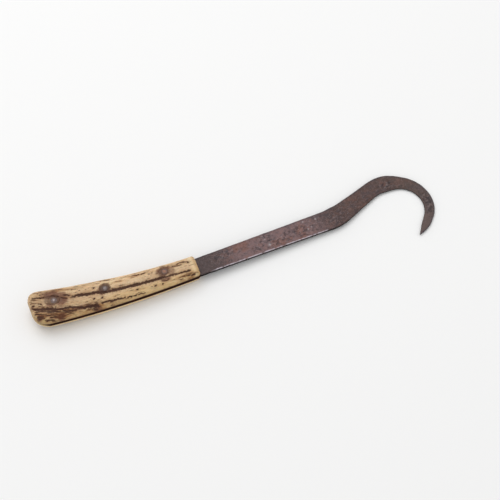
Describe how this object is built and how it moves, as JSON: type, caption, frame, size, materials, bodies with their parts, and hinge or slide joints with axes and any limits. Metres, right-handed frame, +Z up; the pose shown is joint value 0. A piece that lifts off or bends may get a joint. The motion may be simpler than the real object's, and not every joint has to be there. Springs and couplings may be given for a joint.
{
  "type": "pruning hook",
  "caption": "Antique hand pruning hook: a flat forged iron blade ending in a tight sharpened crescent, riveted between two gently curved stag antler scales.",
  "frame": {"origin": "on the table, under the centre of the tool's bounding box as it lies at rest on the worn flat of the back scale and on the end of the hook", "axes": "+X along the shank from the handle to the hook, +Y towards the spine side, away from which the point of the hook turns, +Z up, away from the table"},
  "size_m": [0.2994, 0.0604, 0.017],
  "materials": {
    "blade_iron": "dark brown patina over pitted forged iron, corners worn brighter",
    "antler": "worn stag antler, tan and cream with dark brown furrows and pits",
    "rivet_iron": "dull grey-brown iron, rusted round the edges"
  },
  "bodies": {
    "root": {"blade": "blade_iron", "front_scale": "antler", "back_scale": "antler", "butt_rivet": "rivet_iron", "middle_rivet": "rivet_iron", "front_rivet": "rivet_iron"}
  },
  "joints": []
}
